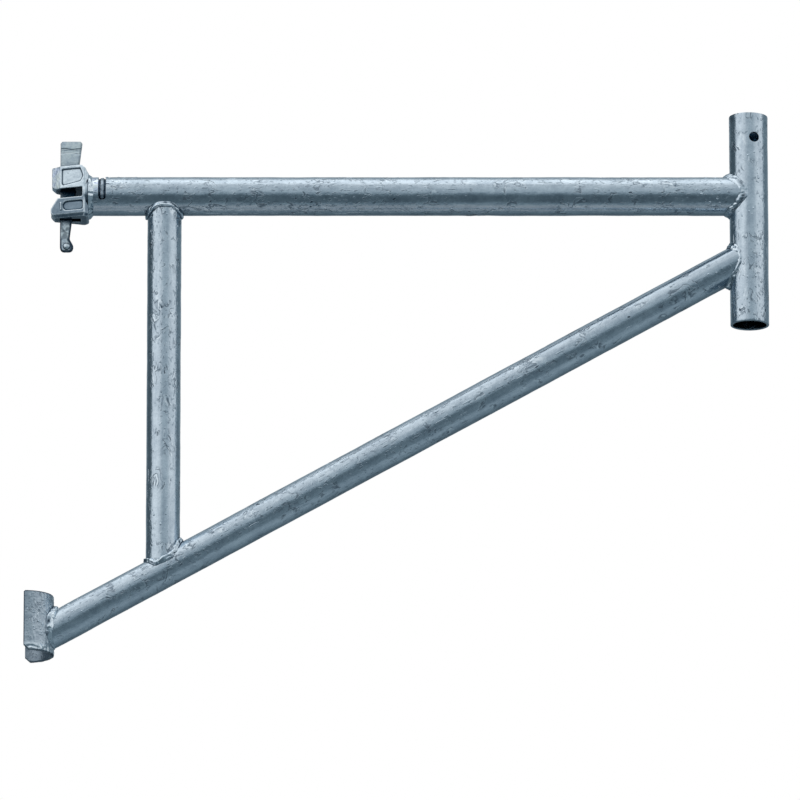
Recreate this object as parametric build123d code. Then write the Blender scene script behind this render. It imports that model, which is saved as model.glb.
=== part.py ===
from build123d import *
import math
import os

# Triangular side bracket for a wedge-lock scaffold, in millimetres.
# The origin is where the upright's axis crosses the main tube's axis, in the middle of the rosette.
# +X runs out along the main tube to the end post, +Z is up, and the side seen first is -Y.

# Scaffold that the bracket hangs on
UPRIGHT_D = 60.3
ROSETTE_D = 123.0
REACH = 900.0

# Tubes
MAIN_D = 48.3
MAIN_WALL = 3.2
POST_D = 48.3
POST_WALL = 3.2
POST_ABOVE = 103.0
POST_BELOW = 167.3
BRACE_D = 42.4
BRACE_WALL = 2.6
STRUT_X = 170.6
DIAGONAL_DROP_AT_POST = 77.2
DIAGONAL_ANGLE = 29.15
POST_COPE_TRIM = 4.5
STRUT_COPE_TRIM = 8.0

# Pin hole through the post
PIN_HOLE_D = 13.0
PIN_HOLE_BELOW_TOP = 31.8
PIN_HOLE_TURN = 16.0

# Half-pipe foot
FOOT_WALL = 6.0
FOOT_ABOVE = 42.0
FOOT_BELOW = 33.0
FOOT_CORNER = 6.0
SEAT_GAP = 0.3

# Cast head: heights above and below the main tube's axis, and lengths along X
HEAD_TOP = 34.8
HEAD_BOTTOM = 31.0
HEAD_WIDTH = 50.8
MOUTH_HEIGHT = 12.0
MOUTH_END_GAP = 6.7
BRIDGE_LENGTH = 7.8
UPPER_NOSE_WIDTH = 12.0
UPPER_NOSE_LENGTH = 11.0
UPPER_LIP_LENGTH = 5.0
UPPER_LIP_HEIGHT = 3.5
LOWER_NOSE_WIDTH = 22.0
LOWER_NOSE_CUT = 8.9
LOWER_NOSE_HEIGHT = 5.0
CHIN_LENGTH = 5.0
CHIN_HEIGHT = 6.5
BACK_TAPER_LENGTH = 5.0
BACK_TAPER_WIDTH = 4.4
BACK_STEP = 2.0
BACK_ROUND_LENGTH = 7.0
BACK_ROUND_HEIGHT = 4.3
PLAN_ROUND = 2.0
BOTTOM_BEVEL = 3.5
COLLAR_PROUD = 1.8
SPIGOT_LENGTH = 34.0
SPIGOT_GAP = 0.2

# Shallow recess in the upper jaw's sides, and pocket and rib in the lower jaw's
RECESS_DEPTH = 1.6
RECESS_MARGIN = 3.8
RECESS_ROUND = 1.5
POCKET_HEIGHT = 12.0
POCKET_BELOW_MOUTH = 4.8
POCKET_START = 3.6
POCKET_ROUND = 2.5
RIB_WIDTH = 1.6
RIB_HEIGHT = 10.0
RIB_PROUD = 0.8

# Wedge and the rivet that keeps it captive
WEDGE_FRONT_WALL = 9.75
WEDGE_THICKNESS = 6.0
WEDGE_WIDTH = 18.8
WEDGE_TAPER = 7.0
WEDGE_STANDS_UP = 36.2
WEDGE_HANGS_DOWN = 24.0
WEDGE_ROUND = 2.5
WEDGE_GAP = 0.3
SLOT_SIDE_GAP = 0.75
LOWER_SLOT_LENGTH = 26.0
LOWER_SLOT_WIDTH = 15.0
BOSS_WIDTH = 16.8
BOSS_HEIGHT = 17.3
BOSS_CORNER = 4.5
RIVET_ABOVE_END = 6.8
RIVET_D = 6.0
RIVET_HEAD_D = 9.0
RIVET_HEAD_HEIGHT = 2.6
RIVET_FIT = 0.05

# Plug-welded slot near the tube's end, and the leg of every weld
SLOT_WIDTH = 8.6
SLOT_FROM_TUBE_END = 12.5
SLOT_DEPTH_BELOW_AXIS = 10.2
PLUG_BELOW_SURFACE = 1.0
WELD_LEG = 4.5
HEAD_WELD_LEG = 3.4
HEAD_WELD_SAG = 1.2
HEAD_WELD_LENGTH = 6.5

# Values that follow from the sizes above
upright_r = UPRIGHT_D / 2
main_r = MAIN_D / 2
main_inner_r = main_r - MAIN_WALL
post_r = POST_D / 2
brace_r = BRACE_D / 2
seat_r = upright_r + SEAT_GAP
foot_r = seat_r + FOOT_WALL
mouth_half = MOUTH_HEIGHT / 2
mouth_end = ROSETTE_D / 2 + MOUTH_END_GAP
head_back = mouth_end + BRIDGE_LENGTH
jaw_back = head_back - BACK_TAPER_LENGTH
nose_x = math.sqrt(seat_r ** 2 - (LOWER_NOSE_WIDTH / 2) ** 2)
flank_rise = (HEAD_WIDTH - LOWER_NOSE_WIDTH) / 2 / (jaw_back - nose_x)
flank_length = (jaw_back - seat_r - WEDGE_FRONT_WALL) * math.hypot(1, flank_rise)
wedge_front = seat_r + WEDGE_FRONT_WALL
taper = math.tan(math.radians(WEDGE_TAPER))
slope = math.tan(math.radians(DIAGONAL_ANGLE))


def diagonal_z(x):
    """Height of the diagonal's axis at a distance x from the upright."""
    return slope * (x - REACH) - DIAGONAL_DROP_AT_POST


def wedge_edge(z):
    """X of the wedge's slanted back edge at height z, with the wedge dropped."""
    return wedge_front + WEDGE_WIDTH + taper * z


foot_top = diagonal_z(foot_r) + FOOT_ABOVE
foot_bottom = diagonal_z(foot_r) - FOOT_BELOW
boss_top = -HEAD_BOTTOM - WEDGE_HANGS_DOWN
boss_bottom = boss_top - BOSS_HEIGHT
rivet_x = wedge_front + BOSS_WIDTH / 2
rivet_z = boss_bottom + RIVET_ABOVE_END


def rod(start, end, radius):
    """Round bar from one point to another."""
    run = Vector(*end) - Vector(*start)
    bar = Cylinder(radius, run.length, align=(Align.CENTER, Align.CENTER, Align.MIN))
    return Plane(origin=start, z_dir=run) * bar


def plate_y(points, half_width):
    """Outline in X and Z, made as thick as twice half_width about Y = 0."""
    outline = Polyline(*[(x, 0, z) for x, z in points], close=True)
    return extrude(make_face(outline), amount=half_width, dir=(0, 1, 0), both=True)


def plan(half_widths):
    """Flat outline seen from above, given as half widths along X."""
    mirrored = [(x, -y) for x, y in reversed(half_widths)]
    return make_face(Polyline(*half_widths, *mirrored, close=True))


def main_bar(radius, end=REACH):
    """Bar along the main tube from its start at the head."""
    return rod((head_back, 0, 0), (end, 0, 0), radius)


def post_bar(radius):
    """Bar along the whole end post."""
    return rod((REACH, 0, -POST_BELOW), (REACH, 0, POST_ABOVE), radius)


def strut_bar(radius, top_trim=0.0, bottom_trim=0.0):
    """Bar down the strut, from the main tube's axis to the diagonal's, or short of either."""
    low = diagonal_z(STRUT_X) + bottom_trim
    return rod((STRUT_X, 0, -top_trim), (STRUT_X, 0, low), radius)


def diagonal_bar(radius):
    """Bar along the diagonal, from the foot's axis to the post's."""
    return rod((0, 0, diagonal_z(0)), (REACH, 0, diagonal_z(REACH)), radius)


def foot_bar(radius, beyond=0.0):
    """Full round bar where the half-pipe foot stands, or a longer one."""
    return rod((0, 0, foot_bottom - beyond), (0, 0, foot_top + beyond), radius)


def tube_slot():
    """Cut for the plug weld: a slot over the tube's top with round lower ends."""
    half = SLOT_WIDTH / 2
    middle = head_back + SLOT_FROM_TUBE_END + half
    low = half - SLOT_DEPTH_BELOW_AXIS
    high = 2 * main_r
    walls = [(middle - half, low), (middle + half, low), (middle + half, high), (middle - half, high)]
    return plate_y(walls, main_r) + rod((middle, -main_r, low), (middle, main_r, low), half)


def main_tube():
    tube = main_bar(main_r, REACH - POST_COPE_TRIM) - main_bar(main_inner_r)
    return tube - post_bar(post_r) - tube_slot()


def post_tube():
    turn = math.radians(PIN_HOLE_TURN)
    height = POST_ABOVE - PIN_HOLE_BELOW_TOP
    across = (math.sin(turn) * POST_D, -math.cos(turn) * POST_D)
    front = (REACH + across[0], across[1], height)
    rear = (REACH - across[0], -across[1], height)
    return post_bar(post_r) - post_bar(post_r - POST_WALL) - rod(front, rear, PIN_HOLE_D / 2)


def strut_tube():
    tube = strut_bar(brace_r, 0, STRUT_COPE_TRIM) - strut_bar(brace_r - BRACE_WALL)
    return tube - main_bar(main_r) - diagonal_bar(brace_r)


def diagonal_tube():
    tube = diagonal_bar(brace_r) - diagonal_bar(brace_r - BRACE_WALL)
    return tube - post_bar(post_r) - foot_bar(foot_r, BRACE_D)


def foot_saddle():
    pipe = foot_bar(foot_r) - foot_bar(seat_r)
    corner = FOOT_CORNER
    keep = [(0, foot_bottom + corner), (corner, foot_bottom), (foot_r, foot_bottom)]
    keep += [(foot_r, foot_top), (corner, foot_top), (0, foot_top - corner)]
    return pipe & plate_y(keep, foot_r)


def flank(x):
    """Half the head's width at a distance x from the upright."""
    return LOWER_NOSE_WIDTH / 2 + flank_rise * (x - nose_x)


def on_flanks(outline, height):
    """Outline drawn on both flanks, x running back from the wedge, raised or sunk by height."""
    outward = Vector(-flank_rise, -1, 0)
    plane = Plane(origin=(wedge_front, -flank(wedge_front), 0), x_dir=(1, -flank_rise, 0), z_dir=outward)
    raised = extrude(plane * outline, amount=abs(height), dir=plane.z_dir * math.copysign(1, height))
    return raised + mirror(raised, about=Plane.XZ)


def upper_jaw():
    """Jaw above the rosette: a narrow nose, two long flanks and a rounded back."""
    start = upright_r + UPPER_NOSE_LENGTH
    half_widths = [(0, UPPER_NOSE_WIDTH / 2), (upright_r, UPPER_NOSE_WIDTH / 2), (start, flank(start))]
    half_widths += [(jaw_back, flank(jaw_back)), (head_back, flank(jaw_back) - BACK_TAPER_WIDTH)]
    outline = plan(half_widths)
    block = extrude(fillet(outline.vertices(), PLAN_ROUND), amount=HEAD_TOP)
    lip = mouth_half + UPPER_LIP_HEIGHT
    profile = [(0, HEAD_TOP), (0, lip), (upright_r, lip), (upright_r + UPPER_LIP_LENGTH, mouth_half)]
    profile += [(mouth_end, mouth_half), (mouth_end, 0), (head_back, 0), (head_back, main_r)]
    back = head_back - BACK_STEP
    profile += [(back, main_r + BACK_STEP), (back - BACK_STEP, HEAD_TOP - BACK_ROUND_HEIGHT)]
    profile += [(back - BACK_ROUND_LENGTH, HEAD_TOP)]
    return block & plate_y(profile, HEAD_WIDTH)


def lower_jaw():
    """Jaw below the rosette: its nose is cut back above, and its back slopes up to the tube."""
    half_widths = [(0, LOWER_NOSE_WIDTH / 2), (nose_x, LOWER_NOSE_WIDTH / 2)]
    half_widths += [(jaw_back, flank(jaw_back)), (head_back, flank(jaw_back) - BACK_TAPER_WIDTH)]
    block = extrude(plan(half_widths), amount=-HEAD_BOTTOM)
    low = CHIN_HEIGHT - HEAD_BOTTOM
    profile = [(mouth_end, 0), (mouth_end, -mouth_half), (nose_x + LOWER_NOSE_CUT, -mouth_half)]
    profile += [(nose_x, low + LOWER_NOSE_HEIGHT), (nose_x, low), (nose_x + CHIN_LENGTH, -HEAD_BOTTOM)]
    profile += [(head_back - BACK_STEP, -HEAD_BOTTOM), (head_back, BACK_STEP - HEAD_BOTTOM), (head_back, 0)]
    block &= plate_y(profile, HEAD_WIDTH)
    rim = block.edges().group_by(Axis.Z)[0]
    return chamfer([edge for edge in rim if abs(edge.tangent_at(0.5).X) > 0.5], BOTTOM_BEVEL)


def rounded(points, radius):
    """Flat outline with every corner rounded."""
    outline = make_face(Polyline(*points, close=True))
    return fillet(outline.vertices(), radius)


def upper_recess():
    """Five-sided shallow recess in each flank of the upper jaw."""
    low = mouth_half + RECESS_MARGIN
    high = HEAD_TOP - RECESS_MARGIN
    tip = flank_length - RECESS_MARGIN / 2
    shoulder = tip - RECESS_MARGIN
    step = RECESS_MARGIN / 2
    points = [(step, high), (step, low + step), (2 * step, low), (shoulder, low + 2 * step)]
    points += [(tip, (low + high) / 2), (shoulder, high)]
    return on_flanks(rounded(points, RECESS_ROUND), -RECESS_DEPTH)


def lower_pocket():
    """Pocket in each flank of the lower jaw, half round at its front end."""
    half = POCKET_HEIGHT / 2
    middle = -mouth_half - POCKET_BELOW_MOUTH - half
    front = POCKET_START + half
    length = flank_length - POCKET_ROUND - front
    straight = Pos(front + length / 2, middle) * Rectangle(length, POCKET_HEIGHT)
    outline = fillet(straight.vertices().group_by(Axis.X)[-1], POCKET_ROUND)
    return on_flanks(outline + Pos(front, middle) * Circle(half), -RECESS_DEPTH)


def lower_rib():
    """Short upright rib in front of each pocket."""
    middle = -mouth_half - POCKET_BELOW_MOUTH - POCKET_HEIGHT / 2
    return on_flanks(Pos(POCKET_START / 3, middle) * Rectangle(RIB_WIDTH, RIB_HEIGHT), RIB_PROUD)


def wedge_slots():
    """Narrow slanted slot in the upper jaw, and a wide one below that lets the rivet pass."""
    front = wedge_front - WEDGE_GAP
    above = HEAD_TOP + 1
    upper = [(front, 0), (front, above)]
    upper += [(wedge_edge(above) + WEDGE_GAP, above), (wedge_edge(0) + WEDGE_GAP, 0)]
    back = front + LOWER_SLOT_LENGTH
    lower = [(front, 0), (back, 0), (back, -HEAD_BOTTOM - 1), (front, -HEAD_BOTTOM - 1)]
    narrow = plate_y(upper, WEDGE_THICKNESS / 2 + SLOT_SIDE_GAP)
    return narrow + plate_y(lower, LOWER_SLOT_WIDTH / 2)


def wedge_head():
    """One casting: two jaws about the mouth, a round collar, and a spigot inside the tube."""
    head = upper_jaw() + lower_jaw() + lower_rib()
    head += rod((jaw_back, 0, 0), (head_back, 0, 0), main_r + COLLAR_PROUD)
    head += rod((jaw_back, 0, 0), (head_back + SPIGOT_LENGTH, 0, 0), main_inner_r - SPIGOT_GAP)
    head -= rod((0, 0, -HEAD_BOTTOM), (0, 0, HEAD_TOP), seat_r)
    return head - wedge_slots() - upper_recess() - lower_pocket()


def wedge():
    """Tapered plate with a rounded boss at its foot, drilled for the rivet."""
    top = HEAD_TOP + WEDGE_STANDS_UP
    side = WEDGE_THICKNESS / 2
    back = wedge_front + BOSS_WIDTH
    outline = [(wedge_front, rivet_z), (wedge_front, top), (wedge_edge(top), top)]
    outline += [(wedge_edge(boss_top), boss_top), (back, rivet_z)]
    outline += [(back - BOSS_CORNER, boss_bottom), (wedge_front + BOSS_CORNER, boss_bottom)]
    plate = extrude(Plane.XZ * rounded(outline, WEDGE_ROUND), amount=side, both=True)
    return plate - rod((rivet_x, -side, rivet_z), (rivet_x, side, rivet_z), RIVET_D / 2 + RIVET_FIT)


def wedge_rivet():
    side = WEDGE_THICKNESS / 2
    outer = side + RIVET_HEAD_HEIGHT
    shank = rod((rivet_x, -outer, rivet_z), (rivet_x, outer, rivet_z), RIVET_D / 2)
    head = rod((rivet_x, -outer, rivet_z), (rivet_x, -side, rivet_z), RIVET_HEAD_D / 2)
    return shank + head + mirror(head, about=Plane.XZ)


def slot_weld():
    """Plug of weld metal that fills the tube's slot down to the head's spigot."""
    plug = tube_slot() & main_bar(main_r - PLUG_BELOW_SURFACE)
    return plug - main_bar(main_inner_r - SPIGOT_GAP)


def weld_head():
    """Bead round the tube's start, lower under the tube than over it."""
    centre = head_back + HEAD_WELD_LENGTH / 2
    start = main_r + HEAD_WELD_LEG
    bead = Cone(start, main_r - HEAD_WELD_SAG, HEAD_WELD_LENGTH)
    return Pos(centre, 0, -HEAD_WELD_SAG) * Rot(0, 90, 0) * bead - main_bar(main_r)


def side_meets(carrier):
    """Distance from a carrier's axis at which a brace's sides meet its surface."""
    return math.sqrt(max(carrier ** 2 - brace_r ** 2, 0))


def weld_tube_post():
    """Bead in the corner between the main tube's coped end and the post."""
    corner = main_bar(main_r + WELD_LEG, REACH - POST_COPE_TRIM) & post_bar(post_r + WELD_LEG)
    return corner - main_bar(main_r) - post_bar(post_r)


def weld_diagonal_post():
    """Bead in the corner between the diagonal's upper end and the post."""
    end = REACH - side_meets(post_r) + WELD_LEG
    keep = [(0, -POST_BELOW), (end, -POST_BELOW), (end, POST_ABOVE), (0, POST_ABOVE)]
    corner = diagonal_bar(brace_r + WELD_LEG) & post_bar(post_r + WELD_LEG)
    corner &= plate_y(keep, post_r + WELD_LEG)
    return corner - diagonal_bar(brace_r) - post_bar(post_r)


def weld_strut_tube():
    """Bead in the corner between the strut's top and the main tube."""
    top = side_meets(main_r) - WELD_LEG
    corner = strut_bar(brace_r + WELD_LEG, top) & main_bar(main_r + WELD_LEG)
    return corner - strut_bar(brace_r) - main_bar(main_r)


def weld_strut_diagonal():
    """Bead in the corner between the strut's foot and the diagonal."""
    corner = strut_bar(brace_r + WELD_LEG, 0, STRUT_COPE_TRIM) & diagonal_bar(brace_r + WELD_LEG)
    return corner - strut_bar(brace_r) - diagonal_bar(brace_r)


def weld_diagonal_foot():
    """Bead in the corner between the diagonal's lower end and the foot."""
    corner = diagonal_bar(brace_r + WELD_LEG) & foot_bar(foot_r + WELD_LEG)
    return corner - diagonal_bar(brace_r) - foot_bar(foot_r)


parts = {
    "main_tube": main_tube(),
    "post_tube": post_tube(),
    "strut_tube": strut_tube(),
    "diagonal_tube": diagonal_tube(),
    "foot_saddle": foot_saddle(),
    "wedge_head": wedge_head(),
    "wedge": wedge(),
    "wedge_rivet": wedge_rivet(),
    "slot_weld": slot_weld(),
    "weld_head": weld_head(),
    "weld_tube_post": weld_tube_post(),
    "weld_diagonal_post": weld_diagonal_post(),
    "weld_strut_tube": weld_strut_tube(),
    "weld_strut_diagonal": weld_strut_diagonal(),
    "weld_diagonal_foot": weld_diagonal_foot(),
}

os.makedirs("parts", exist_ok=True)
for name, shape in parts.items():
    export_step(shape, f"parts/{name}.step")
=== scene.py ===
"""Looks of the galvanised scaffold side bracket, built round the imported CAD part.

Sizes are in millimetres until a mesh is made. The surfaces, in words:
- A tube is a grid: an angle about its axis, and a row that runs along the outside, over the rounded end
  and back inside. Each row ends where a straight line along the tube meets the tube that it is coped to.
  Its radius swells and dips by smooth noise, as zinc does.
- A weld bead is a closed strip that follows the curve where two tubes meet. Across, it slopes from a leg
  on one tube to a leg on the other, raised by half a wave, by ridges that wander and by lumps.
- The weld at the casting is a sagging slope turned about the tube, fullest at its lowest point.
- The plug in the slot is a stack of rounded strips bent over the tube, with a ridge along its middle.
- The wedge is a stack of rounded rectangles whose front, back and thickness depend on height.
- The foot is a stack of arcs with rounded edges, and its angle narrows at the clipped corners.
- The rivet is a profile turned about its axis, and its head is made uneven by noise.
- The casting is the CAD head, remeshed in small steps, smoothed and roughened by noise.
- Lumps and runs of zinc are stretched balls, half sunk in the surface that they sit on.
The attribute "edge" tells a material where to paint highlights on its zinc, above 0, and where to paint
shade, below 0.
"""

import math

import bmesh
import bpy
import numpy as np
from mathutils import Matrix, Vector


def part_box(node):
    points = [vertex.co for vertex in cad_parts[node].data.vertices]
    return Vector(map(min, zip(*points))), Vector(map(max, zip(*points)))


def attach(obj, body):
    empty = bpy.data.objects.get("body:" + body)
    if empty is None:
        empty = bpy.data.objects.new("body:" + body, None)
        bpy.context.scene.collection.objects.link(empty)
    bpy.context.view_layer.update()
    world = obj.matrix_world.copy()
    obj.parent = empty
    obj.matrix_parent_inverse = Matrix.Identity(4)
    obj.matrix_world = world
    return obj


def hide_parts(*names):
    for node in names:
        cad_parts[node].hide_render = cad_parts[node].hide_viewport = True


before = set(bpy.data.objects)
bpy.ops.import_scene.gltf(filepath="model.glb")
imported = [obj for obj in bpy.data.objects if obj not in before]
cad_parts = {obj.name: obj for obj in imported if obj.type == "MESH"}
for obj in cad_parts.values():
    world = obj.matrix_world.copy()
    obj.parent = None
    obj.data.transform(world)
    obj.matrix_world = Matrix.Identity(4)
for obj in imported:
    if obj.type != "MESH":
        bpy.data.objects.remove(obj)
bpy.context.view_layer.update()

MM = 0.001
MERGE_GAP = 0.002 * MM

# Sizes that the CAD boxes don't give
MAIN_WALL = 3.2
POST_WALL = 3.2
BRACE_WALL = 2.6
TUBE_ROUNDING = 0.7
SLOT_SOLE = 0.15
FOOT_WALL = 6.0
FOOT_CORNER = 6.0
FOOT_TOP_CORNER = 1.5
DIAGONAL_ANGLE = math.radians(29.15)
DIAGONAL_DROP_AT_POST = 77.2
PIN_HOLE_R = 6.5
PIN_HOLE_BELOW_TOP = 31.8
PIN_HOLE_TURN = math.radians(16.0)
SLOT_MIDDLE = 92.8
SLOT_HALF_WIDTH = 4.3
SLOT_LOW = -10.2
WEDGE_TAPER = math.tan(math.radians(7.0))
WEDGE_WIDTH_AT_MIDDLE = 18.8
WEDGE_CREASES = (60.6, 55.4)
BOSS_WIDTH = 16.8
BOSS_TOP = -55.0
RIVET_Z = -65.5

# Heights between which the wedge goes from stained, with stronger painted shade along its edges, to clean
BELOW_MOUTH = (-36.0, -28.0)

# Steps of the grids: rows inside a tube, round its rim, and rows and columns across the pin hole
INSIDE_ROWS = 14
RIM_ROWS = 4
HOLE_ROWS = 12
HOLE_COLUMNS = 16

# Main tube: this share of its rows fills this length, and its rim and its cope keep theirs
FINE_SHARE = 0.2
FINE_LENGTH = 30.0
RIM_LENGTH = 1.5
COPE_LENGTH = 30.0

# Casting: size of its grid, smoothing steps of its surface, and of the melted copy that finds its edges
CAST_STEP = 0.62
CAST_SMOOTHING = 4
MELTED_SMOOTHING = 34

# How deep a bead's edge lies under the tube's surface
TOE_DEPTH = 0.35

# Photograph's camera
CAMERA_LENS = 539.4
CAMERA_PLACE = (0.46447, -14.3581, -4.24546)
CAMERA_TILT = math.radians(105.5)


def box_mm(node):
    """Lowest and highest corner of a CAD node in millimetres."""
    low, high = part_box(node)
    return np.array(low) / MM, np.array(high) / MM


main_low, main_high = box_mm("main_tube")
post_low, post_high = box_mm("post_tube")
strut_low, strut_high = box_mm("strut_tube")
foot_low, foot_high = box_mm("foot_saddle")
wedge_low, wedge_high = box_mm("wedge")
rivet_low, rivet_high = box_mm("wedge_rivet")
foot_bottom, foot_top = foot_low[2], foot_high[2]
wedge_bottom, wedge_top = wedge_low[2], wedge_high[2]

main_r = main_high[1]
post_r = post_high[1]
brace_r = strut_high[1]
foot_r = foot_high[0]
post_x = (post_low[0] + post_high[0]) / 2
strut_x = (strut_low[0] + strut_high[0]) / 2
main_start = main_low[0]
head_back = box_mm("weld_head")[0][0]
hole_z = post_high[2] - PIN_HOLE_BELOW_TOP
diagonal_foot = -DIAGONAL_DROP_AT_POST - post_x * math.tan(DIAGONAL_ANGLE)


# Numbers that vary smoothly


def lattice(i, j, k, seed):
    """Fixed pseudo-random value from -1 to 1 for each whole-number corner."""
    mixed = (i * 374761393 + j * 668265263 + k * 1440662683 + seed * 974634777) & 0xFFFFFFFF
    mixed = ((mixed ^ (mixed >> 13)) * 1274126177) & 0xFFFFFFFF
    return ((mixed ^ (mixed >> 16)) & 0xFFFF) / 32767.5 - 1.0


def noise(points, size, seed):
    """Smooth noise from -1 to 1 with features of about the given size."""
    scaled = points / size
    corner = np.floor(scaled).astype(np.int64)
    part = scaled - corner
    part = part * part * (3.0 - 2.0 * part)
    total = np.zeros(points.shape[:-1])
    for a in (0, 1):
        for b in (0, 1):
            for c in (0, 1):
                share = np.where(a, part[..., 0], 1 - part[..., 0])
                share = share * np.where(b, part[..., 1], 1 - part[..., 1])
                share = share * np.where(c, part[..., 2], 1 - part[..., 2])
                value = lattice(corner[..., 0] + a, corner[..., 1] + b, corner[..., 2] + c, seed)
                total += share * value
    return total


def ripples(points, seed, *layers):
    """Sum of layers of noise, each given by its height and the size of its features, with seeds in a row."""
    return sum(height * noise(points, size, seed + i) for i, (height, size) in enumerate(layers))


def ease(value, low, high):
    """0 below low, 1 above high, and smooth between them."""
    part = np.clip((value - low) / (high - low), 0.0, 1.0)
    return part * part * (3.0 - 2.0 * part)


def unit(vectors):
    """Vectors of the same directions and of length 1."""
    return vectors / np.linalg.norm(vectors, axis=-1, keepdims=True)


# Meshes


def grid_faces(rows, columns, closed_rows, closed_columns):
    """Quads of a grid whose points are numbered row by row."""
    row = np.arange(rows if closed_rows else rows - 1)
    column = np.arange(columns if closed_columns else columns - 1)
    row, column = np.meshgrid(row, column, indexing="ij")
    next_row = (row + 1) % rows
    next_column = (column + 1) % columns
    corners = [row * columns + column, row * columns + next_column]
    corners += [next_row * columns + next_column, next_row * columns + column]
    return np.stack(corners, axis=-1).reshape(-1, 4)


def mark_edges(mesh, values):
    """Value of each point for the material: 1 for a painted highlight on a crest, -1 for painted shade in a
    crease, 0 for points left over.
    """
    marks = np.zeros(len(mesh.vertices), np.float32)
    flat = np.asarray(values, np.float32).ravel()
    marks[:len(flat)] = flat
    layer = mesh.attributes.new("edge", "FLOAT", "POINT")
    layer.data.foreach_set("value", marks)


def new_mesh(name, points, quads, triangles=None, edge=None):
    """Blender mesh from points in millimetres."""
    mesh = bpy.data.meshes.new(name)
    flat = np.asarray(points, float).reshape(-1, 3) * MM
    triangles = np.zeros((0, 3), int) if triangles is None else triangles
    loops = np.concatenate([quads.ravel(), triangles.ravel()]).astype(np.int32)
    starts = np.concatenate([np.arange(len(quads)) * 4, quads.size + np.arange(len(triangles)) * 3])
    mesh.vertices.add(len(flat))
    mesh.vertices.foreach_set("co", flat.astype(np.float32).ravel())
    mesh.loops.add(len(loops))
    mesh.loops.foreach_set("vertex_index", loops)
    mesh.polygons.add(len(starts))
    mesh.polygons.foreach_set("loop_start", starts.astype(np.int32))
    mesh.update(calc_edges=True)
    mesh.validate()
    if edge is not None:
        mark_edges(mesh, edge)
    return mesh


def ring_mesh(name, points, edge=None):
    """Mesh of a grid that closes both ways."""
    return new_mesh(name, points, grid_faces(points.shape[0], points.shape[1], True, True), edge=edge)


def finish_piece(mesh, material, body, nodes=(), sharp_angle=50.0):
    """Object for a finished mesh: faces outwards, smooth shading, material and body, with the CAD nodes that
    it replaces hidden.
    """
    work = bmesh.new()
    work.from_mesh(mesh)
    bmesh.ops.remove_doubles(work, verts=work.verts, dist=MERGE_GAP)
    bmesh.ops.recalc_face_normals(work, faces=work.faces)
    work.to_mesh(mesh)
    work.free()
    mesh.shade_smooth()
    mesh.set_sharp_from_angle(angle=math.radians(sharp_angle))
    mesh.materials.append(material)
    piece = bpy.data.objects.new(mesh.name, mesh)
    bpy.context.scene.collection.objects.link(piece)
    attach(piece, body)
    if nodes:
        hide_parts(*nodes)
    return piece


# Axes and copes of the tubes


class Axis:
    """Straight axis with a start, a direction and two directions across it."""

    def __init__(self, start, along, side):
        self.start = np.array(start, float)
        self.along = unit(np.array(along, float))
        self.side = unit(np.array(side, float))
        self.other = np.cross(self.along, self.side)

    def outward(self, angle):
        """Direction away from the axis at an angle."""
        return np.cos(angle)[..., None] * self.side + np.sin(angle)[..., None] * self.other

    def at(self, angle, radius, distance):
        """Point at an angle, a radius and a distance along."""
        radius = np.broadcast_to(radius, angle.shape)[..., None]
        distance = np.broadcast_to(distance, angle.shape)[..., None]
        return self.start + distance * self.along + radius * self.outward(angle)

    def across(self, points):
        """Part of the way from the axis to each point that is square to the axis."""
        away = points - self.start
        return away - (away @ self.along)[..., None] * self.along


diagonal_way = (math.cos(DIAGONAL_ANGLE), 0, math.sin(DIAGONAL_ANGLE))
main_axis = Axis((0, 0, 0), (1, 0, 0), (0, -1, 0))
post_axis = Axis((post_x, 0, 0), (0, 0, 1), (0, -1, 0))
strut_axis = Axis((strut_x, 0, 0), (0, 0, -1), (0, -1, 0))
diagonal_axis = Axis((0, 0, diagonal_foot), diagonal_way, (0, -1, 0))
foot_axis = Axis((0, 0, 0), (0, 0, 1), (0, -1, 0))

# Where a tube's cope stops short of the carrier's middle: direction of the cut, and its height over the axis
POST_LIMIT = ((-1, 0, 0), 5.5)
STRUT_TOP_LIMIT = ((0, 0, -1), 15.0)
STRUT_LIMIT = ((-math.sin(DIAGONAL_ANGLE), 0, math.cos(DIAGONAL_ANGLE)), 8.7)


def meeting(axis, angle, radius, carrier, carrier_r, leaving):
    """Distance along the axis where the line at an angle and a radius meets a carrier's surface."""
    across = carrier.across(axis.at(angle, radius, 0.0))
    run = axis.along - (axis.along @ carrier.along) * carrier.along
    half_b = across @ run
    c = (across * across).sum(-1) - carrier_r ** 2
    root = np.sqrt(np.maximum(half_b ** 2 - (run @ run) * c, 0.0))
    return (-half_b + (root if leaving else -root)) / (run @ run)


def cut_off(axis, angle, radius, carrier, limit):
    """Distance along the axis where the line meets a flat cut, given by its direction and its height."""
    facing, height = np.array(limit[0], float), limit[1]
    start = axis.at(angle, radius, 0.0)
    return ((carrier.start + facing * height - start) @ facing) / (axis.along @ facing)


def softer_of(first, second, reach=4.8):
    """Smaller of two distances, blended where they differ by less than the reach."""
    gap = np.clip(0.5 + 0.5 * (second - first) / reach, 0.0, 1.0)
    return second * (1 - gap) + first * gap - reach * gap * (1 - gap) * 0.5


def tube_rows(wall, outside):
    """Rows of a tube's wall: share of the length, step from the end, and depth below the outside."""
    rim = TUBE_ROUNDING
    edge = [(0.0, rim, 0.0), (0.0, 0.25 * rim, 0.3 * rim), (0.0, 0.0, rim)]
    edge += [(0.0, 0.0, wall - rim), (0.0, 0.25 * rim, wall - 0.3 * rim), (0.0, rim, wall)]
    end = [(1.0, -step, depth) for _, step, depth in edge]
    middle = [(share, 0.0, 0.0) for share in np.linspace(0, 1, outside)[1:-1]]
    back = [(share, 0.0, wall) for share in np.linspace(1, 0, INSIDE_ROWS)[1:-1]]
    return np.array(edge[::-1] + middle + end + back)


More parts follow.
